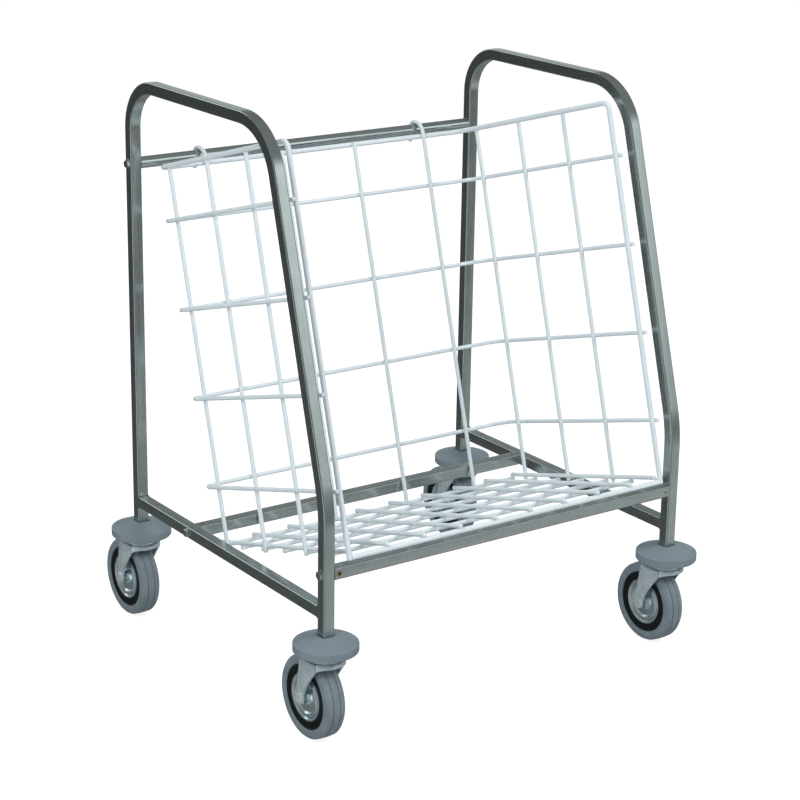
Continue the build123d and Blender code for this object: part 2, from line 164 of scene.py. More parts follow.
class Shape:
    """Points in millimetres, faces between them, and how far along and around each face's corners lie."""

    LEAST_RADIUS = 0.02  # of a turned profile, where it meets its axis

    def __init__(self):
        self.points, self.faces, self.uvs = [], [], []

    def grid(self, rows, ring=True, caps=True):
        start, count = len(self.points), len(rows[0])
        self.points += [p for row in rows for p in row]
        along, around = [0.0], [0.0]
        for a, b in zip(rows, rows[1:]):
            along.append(along[-1] + (b[0] - a[0]).length)
        middle = rows[len(rows) // 2]
        for i in range(count):
            around.append(around[-1] + (middle[(i + 1) % count] - middle[i]).length)
        for i in range(len(rows) - 1):
            low = start + i * count
            for j in range(count if ring else count - 1):
                k = (j + 1) % count
                self.faces.append((low + j, low + k, low + count + k, low + count + j))
                self.uvs += [(along[i], around[j]), (along[i], around[j + 1]),
                             (along[i + 1], around[j + 1]), (along[i + 1], around[j])]
        if ring and caps:
            for i in (0, len(rows) - 1):
                self.faces.append(tuple(start + i * count + j for j in range(count)))
                self.uvs += [(along[i], around[j]) for j in range(count)]
        return self

    def sweep(self, path, section, across=(1, 0, 0), dome=0.0):
        """The section carried along the path; a dome rounds both ends off inside its length."""
        path = [Vector(p) for p in path]
        if dome:
            first, last = (path[1] - path[0]).normalized(), (path[-1] - path[-2]).normalized()
            path = [path[0] + first * dome] + path[1:-1] + [path[-1] - last * dome]
        rows, side = [], Vector(across)
        for i, p in enumerate(path):
            tangent = (path[min(i + 1, len(path) - 1)] - path[max(i - 1, 0)]).normalized()
            side = (side - tangent * side.dot(tangent)).normalized()
            other = tangent.cross(side)
            rows.append([p + side * a + other * b for a, b in section])
        if dome:
            for end, p, way in ((0, path[0], -first), (-1, path[-1], last)):
                edge = rows[end]
                for lift in (25, 50, 75):
                    out, rise = math.cos(math.radians(lift)), dome * math.sin(math.radians(lift))
                    row = [p + (q - p) * out + way * rise for q in edge]
                    rows.insert(0 if end == 0 else len(rows), row)
        return self.grid(rows)

    def lathe(self, centre, profile, axis="z", count=64, closed=False):
        """A profile of (radius, height) or (radius, height, rounding) corners, turned round an axis."""
        if closed:
            profile = profile + profile[:1]
        line = [Vector((max(corner[0], self.LEAST_RADIUS), corner[1], 0)) for corner in profile]
        if len(profile[0]) > 2:
            line = bent(line, [corner[2] for corner in profile[1:-1]], step=22.5)
        x, y, z = centre
        rows = []
        for r, h, _ in line:
            if axis == "z":
                rows.append([Vector((x + a, y + b, z + h)) for a, b in circle(r, count)])
            else:
                rows.append([Vector((x + h, y + a, z + b)) for a, b in circle(r, count)])
        return self.grid(rows, caps=not closed)

    def sheet(self, rows, thickness):
        """A sheet whose front face the rows draw."""
        count, rings = len(rows[0]), []
        for i, row in enumerate(rows):
            back = []
            for j, p in enumerate(row):
                along = rows[min(i + 1, len(rows) - 1)][j] - rows[max(i - 1, 0)][j]
                across = row[min(j + 1, count - 1)] - row[max(j - 1, 0)]
                back.append(p + along.cross(across).normalized() * thickness)
            rings.append(list(row) + back[::-1])
        return self.grid(rings)

    def blob(self, centre, *axes):
        """A small rounded lump with these three half axes."""
        rows = []
        for lift in (-67, -35, 0, 35, 67):
            out, rise = math.cos(math.radians(lift)), math.sin(math.radians(lift))
            rows.append([centre + axes[0] * a * out + axes[1] * b * out + axes[2] * rise
                         for a, b in circle(1, 8)])
        return self.grid(rows)

    def piece(self, name, material, body, slot, nodes=(), sharp=32, bevel=0.0):
        """The shape as a mesh that rides on a body; edges over so many degrees stay sharp."""
        mesh = bpy.data.meshes.new(name)
        mesh.from_pydata([p * MM for p in self.points], [], self.faces)
        layer = mesh.uv_layers.new(name="UVMap")
        layer.data.foreach_set("uv", [value * MM for uv in self.uvs for value in uv])
        work = bmesh.new()
        work.from_mesh(mesh)
        bmesh.ops.recalc_face_normals(work, faces=work.faces)
        work.to_mesh(mesh)
        work.free()
        mesh.shade_smooth()
        mesh.set_sharp_from_angle(angle=math.radians(sharp))
        mesh.materials.append(material)
        obj = bpy.data.objects.new(name, mesh)
        bpy.context.scene.collection.objects.link(obj)
        if bevel:
            edges = obj.modifiers.new("edges", "BEVEL")
            edges.width, edges.segments = bevel * MM, 2
            edges.limit_method, edges.angle_limit = "ANGLE", math.radians(40)
        weighted = obj.modifiers.new("even_normals", "WEIGHTED_NORMAL")
        weighted.keep_sharp = True
        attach(obj, body)
        if nodes:
            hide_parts(*nodes)
        return obj


# Materials

class Look:
    """A procedural material: a Principled shader with noise on its colour, roughness and bump."""

    def __init__(self, name, color, metallic, roughness, coords="Object"):
        self.material = bpy.data.materials.new(name)
        self.material.use_nodes = True
        self.tree = self.material.node_tree
        self.shader = self.tree.nodes["Principled BSDF"]
        self.shader.inputs["Base Color"].default_value = (*color, 1)
        self.shader.inputs["Metallic"].default_value = metallic
        self.shader.inputs["Roughness"].default_value = roughness
        self.color = color
        self.places = self.tree.nodes.new("ShaderNodeTexCoord").outputs[coords]
        self.height = None

    def join(self, output, target):
        self.tree.links.new(output, target)

    def noise(self, scale, detail=3.0, rough=0.55):
        """Noise from 0 to 1 at so many grains per metre along x, y and z."""
        mapping = self.tree.nodes.new("ShaderNodeMapping")
        mapping.inputs["Scale"].default_value = scale if isinstance(scale, tuple) else (scale,) * 3
        noise = self.tree.nodes.new("ShaderNodeTexNoise")
        noise.inputs["Scale"].default_value = 1.0
        noise.inputs["Detail"].default_value = detail
        noise.inputs["Roughness"].default_value = rough
        # The noise node's values nearly all lie between these two
        spread = self.tree.nodes.new("ShaderNodeMapRange")
        spread.inputs["From Min"].default_value = 0.3
        spread.inputs["From Max"].default_value = 0.7
        self.join(self.places, mapping.inputs["Vector"])
        self.join(mapping.outputs["Vector"], noise.inputs["Vector"])
        self.join(noise.outputs["Fac"], spread.inputs["Value"])
        return spread.outputs["Result"]

    def tint(self, factor, low, high):
        """The colour runs between two shares of itself, over whatever tints came before."""
        mix = self.tree.nodes.new("ShaderNodeMix")
        mix.data_type, mix.blend_type = "RGBA", "MULTIPLY"
        ramp = self.tree.nodes.new("ShaderNodeMix")
        ramp.data_type = "RGBA"
        ramp.inputs["A"].default_value = (*low, 1)
        ramp.inputs["B"].default_value = (*high, 1)
        mix.inputs["Factor"].default_value = 1.0
        base = self.shader.inputs["Base Color"]
        if base.is_linked:
            self.join(base.links[0].from_socket, mix.inputs["A"])
        else:
            mix.inputs["A"].default_value = (*self.color, 1)
        self.join(factor, ramp.inputs["Factor"])
        self.join(ramp.outputs["Result"], mix.inputs["B"])
        self.join(mix.outputs["Result"], base)
        return self

    def gloss(self, factor, low, high):
        """The roughness runs from low to high."""
        spread = self.tree.nodes.new("ShaderNodeMapRange")
        spread.inputs["To Min"].default_value = low
        spread.inputs["To Max"].default_value = high
        self.join(factor, spread.inputs["Value"])
        self.join(spread.outputs["Result"], self.shader.inputs["Roughness"])
        return self

    def bump(self, factor, depth, strength=1.0):
        """The surface rises by so many metres."""
        bump = self.tree.nodes.new("ShaderNodeBump")
        bump.inputs["Distance"].default_value = depth
        bump.inputs["Strength"].default_value = strength
        self.join(factor, bump.inputs["Height"])
        if self.height:
            self.join(self.height, bump.inputs["Normal"])
        self.height = bump.outputs["Normal"]
        self.join(self.height, self.shader.inputs["Normal"])
        return self


# Brushed along each tube, with the streaks in its length
steel = Look("brushed_stainless", (0.555, 0.595, 0.587), metallic=1.0, roughness=0.25, coords="UV")
streaks = steel.noise((7, 1500, 1), detail=4)
patches = steel.noise((28, 70, 1), detail=5)
steel.tint(streaks, (0.88, 0.88, 0.88), (1.06, 1.06, 1.06))
steel.tint(patches, (0.9, 0.905, 0.9), (1.06, 1.06, 1.06))
steel.gloss(streaks, 0.2, 0.3)
steel.bump(streaks, depth=0.000006, strength=0.5)

polished = Look("polished_bar", (0.59, 0.625, 0.618), metallic=1.0, roughness=0.15, coords="UV")
lines = polished.noise((5, 900, 1), detail=3)
polished.tint(lines, (0.93, 0.93, 0.93), (1.03, 1.03, 1.03))
polished.gloss(lines, 0.12, 0.2)

bolt_steel = Look("bolt_stainless", (0.6, 0.64, 0.635), metallic=1.0, roughness=0.13)
bolt_steel.tint(bolt_steel.noise(300, detail=3), (0.9, 0.9, 0.9), (1.05, 1.05, 1.05))
bolt_steel.gloss(bolt_steel.noise(300, detail=2), 0.1, 0.18)

weld = Look("weld_bead", (0.3, 0.27, 0.22), metallic=1.0, roughness=0.42)
weld.tint(weld.noise(420, detail=4), (0.7, 0.68, 0.7), (1.15, 1.12, 1.05))
weld.bump(weld.noise(600, detail=2), depth=0.0003, strength=0.8)

wire = Look("white_coated_wire", (0.74, 0.815, 0.85), metallic=0.0, roughness=0.33)
wire.shader.inputs["Coat Weight"].default_value = 0.25
wire.shader.inputs["Coat Roughness"].default_value = 0.18
wire.tint(wire.noise(35, detail=3), (0.955, 0.965, 0.97), (1.02, 1.015, 1.01))
wire.gloss(wire.noise(60, detail=3), 0.27, 0.4)
wire.bump(wire.noise(260, detail=2), depth=0.00006, strength=0.6)

zinc = Look("zinc_plate", (0.6, 0.71, 0.77), metallic=0.7, roughness=0.22)
zinc.tint(zinc.noise(30, detail=3, rough=0.5), (0.9, 0.91, 0.91), (1.08, 1.07, 1.07))
zinc.gloss(zinc.noise(60, detail=2), 0.19, 0.27)
zinc.bump(zinc.noise(150, detail=2), depth=0.000015, strength=0.4)

fork_zinc = Look("fork_zinc", (0.64, 0.735, 0.775), metallic=0.45, roughness=0.26)
fork_zinc.tint(fork_zinc.noise(40, detail=4, rough=0.6), (0.92, 0.925, 0.93), (1.07, 1.065, 1.06))
fork_zinc.gloss(fork_zinc.noise(60, detail=2), 0.22, 0.32)
fork_zinc.bump(fork_zinc.noise(150, detail=2), depth=0.000015, strength=0.4)

hub_zinc = Look("hub_zinc", (0.68, 0.78, 0.82), metallic=0.85, roughness=0.15)
hub_zinc.tint(hub_zinc.noise(60, detail=3, rough=0.5), (0.9, 0.91, 0.92), (1.06, 1.06, 1.06))
hub_zinc.gloss(hub_zinc.noise(80, detail=2), 0.13, 0.19)

bolt_zinc = Look("bright_zinc", (0.8, 0.86, 0.88), metallic=0.55, roughness=0.18)
bolt_zinc.tint(bolt_zinc.noise(300, detail=3), (0.93, 0.93, 0.93), (1.05, 1.05, 1.05))
bolt_zinc.gloss(bolt_zinc.noise(300, detail=2), 0.16, 0.22)

yellow_zinc = Look("yellow_zinc", (0.42, 0.37, 0.2), metallic=0.8, roughness=0.38)
yellow_zinc.tint(yellow_zinc.noise(500, detail=3), (0.75, 0.75, 0.75), (1.15, 1.12, 1.1))

bumper = Look("bumper_plastic", (0.2, 0.25, 0.28), metallic=0.0, roughness=0.46)
bumper.tint(bumper.noise(26, detail=4), (0.9, 0.91, 0.92), (1.08, 1.07, 1.06))
bumper.gloss(bumper.noise(90, detail=3), 0.4, 0.55)
bumper.bump(bumper.noise(2200, detail=2), depth=0.00004, strength=0.5)

tyre = Look("tyre_rubber", (0.19, 0.235, 0.26), metallic=0.0, roughness=0.58)
tyre.tint(tyre.noise(50, detail=5, rough=0.65), (0.84, 0.86, 0.88), (1.14, 1.13, 1.12))
tyre.gloss(tyre.noise(130, detail=3), 0.5, 0.7)
tyre.bump(tyre.noise(1500, detail=3), depth=0.00008, strength=0.7)

rim_plastic = Look("black_rim_plastic", (0.006, 0.0065, 0.007), metallic=0.0, roughness=0.5)
rim_plastic.shader.inputs["Specular IOR Level"].default_value = 0.3
rim_plastic.tint(rim_plastic.noise(80, detail=3), (0.8, 0.8, 0.8), (1.4, 1.4, 1.4))
rim_plastic.gloss(rim_plastic.noise(200, detail=3), 0.35, 0.55)
rim_plastic.bump(rim_plastic.noise(1800, detail=2), depth=0.00004, strength=0.5)

# Near-black paint for the shade inside holes: painted shade
shade_paint = Look("hole_shadow", (0.02, 0.02, 0.02), metallic=0.0, roughness=0.8)
shade_paint.tint(shade_paint.noise(400, detail=2), (0.7, 0.7, 0.7), (1.3, 1.3, 1.3))

# Side frames and rails, of square tube with rounded corners
tube = rounded_square(TUBE / 2, TUBE_CORNER)


def square_tube(name, path, node, across=(1, 0, 0)):
    Shape().sweep(path, tube, across).piece(name, steel.material, "root", "stainless_steel", [node])


for name, side in SIDES:
    x = side * LEG_X
    turns = [(x, REAR_LEG, LEG_END), (x, REAR_LEG, HANDLE), (x, HANDLE_FRONT, HANDLE),
             (x, FRONT_LEG, KNEE_HEIGHT), (x, FRONT_LEG, LEG_END)]
    path = bent(turns, (REAR_BEND, FRONT_BEND, KNEE_BEND), step=3)
    square_tube(name + "_bent_tube", path, name + "_side_frame")
    run = [(x, FRONT_LEG + TUBE / 2, SIDE_RAIL_HEIGHT), (x, REAR_LEG - TUBE / 2, SIDE_RAIL_HEIGHT)]
    square_tube(name + "_rail_tube", run, name + "_side_rail")

for name, y, z in (("front", FRONT_LEG, FRONT_RAIL_HEIGHT), ("rear", REAR_RAIL, SIDE_RAIL_HEIGHT)):
    run = [(-INSIDE, y, z), (INSIDE, y, z)]
    square_tube(name + "_rail_tube", run, name + "_cross_rail", (0, 1, 0))

run = [(-INSIDE, REAR_LEG, BAR_HEIGHT), (INSIDE, REAR_LEG, BAR_HEIGHT)]
bar = Shape().sweep(run, circle(BAR_RADIUS, 48), (0, 1, 0))
bar.piece("round_bar", polished.material, "root", "stainless_steel", ["hanging_bar"])

# Weld beads round both ends of the side rails
BEAD_RADIUS, BEAD_RIPPLE, BEAD_SINK = 1.5, 0.25, 0.3
bead_line = rounded_square(TUBE / 2 - BEAD_SINK, TUBE_CORNER, 3)
welds = Shape()
for _, side in SIDES:
    for y, way in ((FRONT_LEG + TUBE / 2, 1), (REAR_LEG - TUBE / 2, -1)):
        middle = Vector((side * LEG_X, y, SIDE_RAIL_HEIGHT))
        rows = []
        for i, (a, b) in enumerate(bead_line):
            p = Vector((side * LEG_X + a, y, SIDE_RAIL_HEIGHT + b))
            out = (p - middle).normalized()
            bead = BEAD_RADIUS + BEAD_RIPPLE * math.sin(i * 2.4)
            rows.append([p + out * a * bead + Vector((0, way * b * bead, 0)) for a, b in circle(1, 8)])
        welds.grid(rows + rows[:1], caps=False)
welds.piece("rail_welds", weld.material, "root", "stainless_steel")

# Hexagon bolts that hold the bar and the cross rails to the left frame, and the small fixings, with the holes
# as painted shade
WASHER_PROFILE, WASHER_THICKNESS = [(6.9, 0), (6.9, -0.5), (6.6, -0.8), (0.5, -0.8)], 0.8
BOLT_FLATS, BOLT_RISE = 11.5, 4.2
HEXAGON_PROFILE = ((1, 0), (1, 0.72), (0.97, 0.88), (0.86, 1.0), (0.3, 1.0))
RIVET_PROFILE = ((4.5, 0), (4.5, 0.4), (4.0, 0.9), (2.5, 0.9), (2.2, 0.2), (0.1, 0.2))
# The rivet's centre and the holes are flat dark discs on the tubes: painted shade for the inside of the
# rivet's hollow centre and of each hole
RIVET_CENTRE_PROFILE = ((2.15, 0.1), (2.15, 0.45), (1.7, 0.5), (0.1, 0.5))
FRONT_HOLE_PROFILE = ((1.8, -0.3), (1.8, 0.08), (1.4, 0.08), (0.1, -0.1))
TOP_HOLE_PROFILE = [(1.9, -0.3), (1.9, 0.08), (1.5, 0.08), (0.1, -0.1)]
FRONT_FIXING_X, REAR_HOLE_X, SIDE_HOLE_Y = 299.0, 298.0, 188.0
bolts, rivets, hole_shade = Shape(), Shape(), Shape()


def hexagon(shape, x, y, z, way, across_flats, rise, turn):
    """A chamfered hexagon head that stands out along x, turned by so many degrees."""
    radius = across_flats / math.sqrt(3)
    angles = [math.radians(60 * i + turn) for i in range(6)]
    corners = [(radius * math.cos(angle), radius * math.sin(angle)) for angle in angles]
    shape.grid([[Vector((x + way * rise * height, y + a * share, z + b * share)) for a, b in corners]
                for share, height in HEXAGON_PROFILE])


def front_fixing(shape, x, profile, count):
    """A profile of (radius, height) corners, turned on the front rail's front face."""
    face = FRONT_LEG - TUBE / 2
    shape.grid([[Vector((x + a, face - out, FRONT_RAIL_HEIGHT + b)) for a, b in circle(r, count)]
                for r, out in profile])


outer_face = -LEG_X - TUBE / 2
bolted = ((REAR_LEG, BAR_HEIGHT), (FRONT_LEG, FRONT_RAIL_HEIGHT), (REAR_RAIL, SIDE_RAIL_HEIGHT))
for i, (y, z) in enumerate(bolted):
    bolts.lathe((outer_face, y, z), WASHER_PROFILE, "x", 32)
    hexagon(bolts, outer_face - WASHER_THICKNESS, y, z, -1, BOLT_FLATS, BOLT_RISE, 17 + 23 * i)
front_fixing(rivets, -FRONT_FIXING_X, RIVET_PROFILE, 24)
front_fixing(hole_shade, -FRONT_FIXING_X, RIVET_CENTRE_PROFILE, 20)
front_fixing(hole_shade, FRONT_FIXING_X, FRONT_HOLE_PROFILE, 24)
for _, side in SIDES:
    for x, y in ((LEG_X, SIDE_HOLE_Y), (REAR_HOLE_X, REAR_RAIL)):
        hole_shade.lathe((side * x, y, SIDE_RAIL_HEIGHT + TUBE / 2), TOP_HOLE_PROFILE, count=20)
bolts.piece("frame_bolts", bolt_steel.material, "root", "zinc_plated_steel")
rivets.piece("rail_rivets", yellow_zinc.material, "root", "zinc_plated_steel")
# Painted shade: the dark discs stand where the holes are
hole_shade.piece("painted_hole_shade", shade_paint.material, "root", "stainless_steel")

# Basket wires
WIRE_DOME = 2.0  # how far each cut end is rounded off
thin, thick = circle(WIRE, 14), circle(RIM_WIRE, 16)


def wires(name, node, runs, section=thin):
    """Runs are (points in the basket's plane, radii of their bends)."""
    shape = Shape()
    for points, radii in runs:
        path = [basket(*p) for p in bent(points, radii, step=7.5)]
        # The section starts across the run, from a direction that no run begins in
        across = (1, 0, 0.001) if radii else (0.3, 0.5, 0.8)
        shape.sweep(path, section, across, WIRE_DOME)
    shape.piece(name, wire.material, "basket", "coated_wire", [node], sharp=50)


def straight(start, end):
    """A run without bends."""
    return [start, end], ()


def hoop(z):
    """A run round both sides and the back, outside the uprights."""
    turns = [(-HOOP_X, WIRE_FRONT, z), (-HOOP_X, WIRE, z), (HOOP_X, WIRE, z), (HOOP_X, WIRE_FRONT, z)]
    return turns, (CORNER_BEND, CORNER_BEND)


rim_turns = [(-CORNER_X, CORNER_Y, -2 * RIM_WIRE), (-CORNER_X, CORNER_Y, RIM_HEIGHT),
             (-CORNER_X, RIM_WIRE, RIM_HEIGHT), (CORNER_X, RIM_WIRE, RIM_HEIGHT),
             (CORNER_X, CORNER_Y, RIM_HEIGHT), (CORNER_X, CORNER_Y, -2 * RIM_WIRE)]
wires("rim_wire", "basket_rim", [(rim_turns, (RIM_BEND, CORNER_BEND, CORNER_BEND, RIM_BEND))], thick)
wires("hoop_wires", "basket_hoops", [hoop(z) for z in HOOP_ZS])

UPRIGHT_SINK = 0.8  # of the side uprights into the rim
wires("side_upright_wires", "basket_side_uprights", [
    straight((side * UPRIGHT_X, y, -2 * WIRE), (side * UPRIGHT_X, y, RIM_HEIGHT - RIM_WIRE + UPRIGHT_SINK))
    for _, side in SIDES for y in SIDE_YS])
wires("back_upright_wires", "basket_back_uprights", [
    straight((x, -WIRE, -2 * WIRE), (x, -WIRE, RIM_HEIGHT + RIM_WIRE)) for x in BACK_XS])

# The hooks over the bar: the bar's own level and plumb directions in the basket's plane
HOOK_BEND = BAR_RADIUS + SEAT_GAP + WIRE
level, plumb = Vector((COS, SIN)), Vector((-SIN, COS))
hook_rear = Vector((BAR_SETBACK, BAR_IN_BASKET)) + (plumb + level) * HOOK_BEND
shoulder = hook_rear - level * ((hook_rear.x + WIRE) / level.x)
tail = hook_rear - plumb * (HOOK_BEND + HOOK_TAIL)
wires("hook_wires", "basket_hook_uprights", [
    ([(x, -WIRE, -2 * WIRE), (x, *shoulder), (x, *hook_rear), (x, *tail)], (SHOULDER_BEND, HOOK_BEND))
    for x in HOOK_XS])

# The floor, from side to side and from back to front
END_SINK = 2.0  # of the front wire's ends into the rim
floor_runs = [straight((x, -2 * WIRE, WIRE), (x, WIRE_FRONT, WIRE)) for x in FLOOR_XS]
edge_runs = [straight((side * EDGE_X, -2 * WIRE, WIRE), (side * EDGE_X, CORNER_Y + RIM_WIRE, WIRE))
             for _, side in SIDES]
wires("floor_wires", "basket_floor_bars", floor_runs + edge_runs)
wires("cross_floor_wires", "basket_cross_wires", [
    straight((-UPRIGHT_X + WIRE, y, -WIRE), (UPRIGHT_X - WIRE, y, -WIRE)) for y in CROSS_YS])
front_x = CORNER_X - END_SINK
front_run = straight((-front_x, CORNER_Y, -RIM_WIRE), (front_x, CORNER_Y, -RIM_WIRE))
wires("front_edge_wire", "basket_front_wire", [front_run], thick)

# The coating pools where wires are welded together
POOL_WIDTH, RIM_POOL_WIDTH, POOL_DEPTH = 3.1, 3.6, 1.1
joints = Shape()
X, Y, Z = (basket(*p) - basket(0, 0, 0) for p in ((1, 0, 0), (0, 1, 0), (0, 0, 1)))


def pool(x, y, z, normal, width=POOL_WIDTH):
    axes = [a * (POOL_DEPTH if a is normal else width) for a in (X, Y, Z)]
    joints.blob(basket(x, y, z), *axes)


for _, side in SIDES:
    for z in HOOP_ZS:
        for y in SIDE_YS + [CORNER_Y]:
            pool(side * HALF_WIDTH, y, z, X)
    for y in SIDE_YS:
        pool(side * UPRIGHT_X, y, RIM_HEIGHT - RIM_WIRE, Z)
        pool(side * (EDGE_X + WIRE), y, WIRE, X)
    pool(side * (CORNER_X - RIM_WIRE), CORNER_Y, -RIM_WIRE, X, RIM_POOL_WIDTH)
    pool(side * EDGE_X, CORNER_Y + RIM_WIRE, 1.0, Y)
for x in BACK_XS + HOOK_XS:
    for z in HOOP_ZS + [RIM_HEIGHT]:
        pool(x, 0, z, Y)
    pool(x, -2 * WIRE, -WIRE, Y)
for x in FLOOR_XS:
    for y in CROSS_YS + [CORNER_Y]:
        pool(x, y, 0, Z)
for _, side in SIDES:
    for y in CROSS_YS:
        pool(side * EDGE_X, y, 0, Z)
joints.piece("wire_welds", wire.material, "basket", "coated_wire", sharp=60)

# Bumpers: a rounded disc with a low cone and a square socket, hollow below. The profile's corners
# are (radius, height, rounding), and the socket's rings (half width, height, how square).
BUMPER_PROFILE = ((12, 144.3, 0), (29, 144.3, 1.0), (30, 151, 1.0), (43, 151, 1.0), (44, 144.1, 1.0),
                  (BUMPER_RADIUS, 144.1, 1.6), (BUMPER_RADIUS, 156, 1.2), (15.5, 166.9, 0))
SOCKET_RINGS = ((12.4, 167.0, 0.55), (9.9, 166.6, 1.0), (9.35, 165.6, 1.0), (9.3, 150, 1.0))
SOCKET_ROUNDNESS, SOCKET_DIAGONAL = 1.02, 1.3
bumper_turns = [(r, z, 0) for r, z, _ in BUMPER_PROFILE]
bumper_line = bent(bumper_turns, [rounding for _, _, rounding in BUMPER_PROFILE[1:-1]], step=18)
bumpers = Shape()
for _, x, y in CORNERS:
    rows = [[Vector((x + a, y + b, z)) for a, b in circle(r, 96)] for r, z, _ in bumper_line]
    for half, z, squareness in SOCKET_RINGS:
        row = []
        for a, b in circle(1, 96):
            square = min(half / max(abs(a), abs(b)), half * SOCKET_DIAGONAL)
            radius = half * SOCKET_ROUNDNESS * (1 - squareness) + square * squareness
            row.append(Vector((x + a * radius, y + b * radius, z)))
        rows.append(row)
    bumpers.grid(rows, caps=False)
bumpers.piece("bumper_discs", bumper.material, "root", "grey_bumper", ["bumpers"], sharp=40)

# Swivel heads: a folded top race over the fork, with the kingpin and its nut below
HEAD_PROFILE = [(5, 144, 0), (26, 144, 1), (27, 143, 0.8), (27, 140.4, 0.8), (25.4, 138.8, 0.6),
                (22, 138.4, 0.6), (22, 135.6, 0.5), (24.4, 134.8, 0.6), (24.9, 133.0, 0.8),
                (24.2, 131.6, 0.5), (22.8, 131.4, 0.4), (22.0, 133.4, 0.4), (18.5, 134.4, 0.8),
                (14, 133.3, 0.8), (5, 133.3, 0.6), (5, 128, 0.4), (4.6, 126.6, 0.3), (0, 126.2, 0)]
NUT_RADIUS, NUT_RINGS = 9.2, ((0.9, 129.0), (1, 128.6), (1, 126.9), (0.88, 126.4))
BALLS, BALL_RADIUS, BALL_RING, BALL_HEIGHT = 18, 1.35, 20.8, 132.4
ball_axes = [Vector(a) for a in ((BALL_RADIUS, 0, 0), (0, BALL_RADIUS, 0), (0, 0, BALL_RADIUS))]
heads, balls = Shape(), Shape()
for _, x, y in CORNERS:
    heads.lathe((x, y, 0), HEAD_PROFILE)
    heads.grid([[Vector((x + a * share, y + b * share, z)) for a, b in circle(NUT_RADIUS, 6)]
                for share, z in NUT_RINGS])
    for i in range(BALLS):
        turn = math.radians(360 / BALLS * i + 7)
        place = (x + BALL_RING * math.cos(turn), y + BALL_RING * math.sin(turn), BALL_HEIGHT)
        balls.blob(Vector(place), *ball_axes)
heads.piece("swivel_races", bolt_zinc.material, "root", "zinc_plated_steel", ["swivel_heads"])
balls.piece("race_balls", bolt_zinc.material, "root", "zinc_plated_steel", sharp=80)

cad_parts["leg_plugs"].data.materials.clear()
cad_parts["leg_plugs"].data.materials.append(zinc.material)

# Forks, pressed from sheet; all places are from the kingpin, heights from the floor
FORK_SHEET, SKIRT_SHEET, FORK_BEND = 2.6, 2.0, 4.0
# The crown from above, an arc in front and cut corners behind, and its (share, height) rings
crown_arc = [(a, b) for a, b in circle(26.5, 72) if b < -8.5]
CROWN_OUTLINE = sorted(crown_arc, key=lambda p: math.atan2(p[1], p[0])) + [
    (25.5, 24), (24.5, 28.5), (21, 30), (-21, 30), (-24.5, 28.5), (-25.5, 24)]
CROWN_RINGS = ((0.97, 127.4), (1, 127.8), (1, 129.4), (0.985, 130.1), (0.95, 130.4), (0.3, 130.4))
CROWN_RACE_PROFILE = [(13, 130.2, 0), (13.5, 130.8, 0.3), (16.5, 130.9, 0.5), (17.5, 131.6, 0.4),
                      (19.2, 131.7, 0.5), (21.2, 130.7, 0.5), (22, 130.2, 0)]
# The skirt folded down from the crown's arc, from SKIRT_START degrees on. Its lower edge is at
# SKIRT_LOWER in the middle and SKIRT_DROP lower at both ends, and its hem turns in a little.
SKIRT_STEPS, SKIRT_START, SKIRT_SPAN = 32, 208, 124
SKIRT_FOLD = ((24.4, 130.3), (25.7, 129.7), (26.4, 128.6))
SKIRT_RADIUS, SKIRT_LOWER, SKIRT_DROP = 26.5, 126.2, 4.9
HEM_IN, HEM_HEIGHT = 0.4, 0.5
# Each leg is one bent sheet: height, outer face, rear edge, bend, and front edge (x, y)
LEG_LEVELS = (
    (129.8, 25.5, 28.7, 13.4, (23.5, -12.3)),
    (127.0, 25.4, 29.1, 13.7, (23.4, -12.4)),
    (124.0, 25.2, 29.7, 14.1, (23.2, -12.5)),
    (121.3, 25.0, 30.4, 14.5, (22.9, -12.1)),
    (118.6, 24.8, 31.0, 14.8, (22.7, -10.4)),
    (115.4, 24.6, 31.9, 15.2, (22.6, -7.9)),
    (110.5, 24.3, 32.9, 15.9, (22.6, -4.1)),
    (104.5, 23.8, 34.1, 17.0, (22.8, 0.4)),
    (98.0, 23.4, 35.2, 18.3, (23.0, 5.4)),
    (91.0, 22.7, 36.6, 19.6, (23.0, 10.3)),
    (83.0, 22.0, 38.3, 21.1, (22.7, 15.1)),
    (74.0, 21.2, 40.1, 22.7, (22.0, 19.2)),
    (66.0, 20.6, 41.0, 24.2, (21.3, 22.4)),
)
TIP_RADIUS, TIP_FACE, TIP_EDGE = 9.0, 20.5, 20.8
# The rear edge turns in by REAR_FOLD, and by FOLD_GAIN more once FOLD_RISE above FOLD_START
REAR_FOLD, FOLD_GAIN, FOLD_START, FOLD_RISE = 0.8, 3.2, 66, 64
BEND_SHARE = 0.7  # of the shorter side that the bend may take


def leg_row(z, outer, rear, bend, edge, side, x, y):
    """A leg's outer face at one height, from its front edge round the bend to its rear edge."""
    fold = REAR_FOLD + FOLD_GAIN * max(0, z - FOLD_START) / FOLD_RISE
    ends = [Vector((x + side * a, y + b, z)) for a, b in (edge, (outer, bend), (outer - fold, rear))]
    u, v = ends[0] - ends[1], ends[2] - ends[1]
    longest = BEND_SHARE * min(u.length, v.length)
    radius = min(FORK_BEND, longest * math.tan(u.angle(v) / 2))
    return bent(ends, [radius], steps=4)


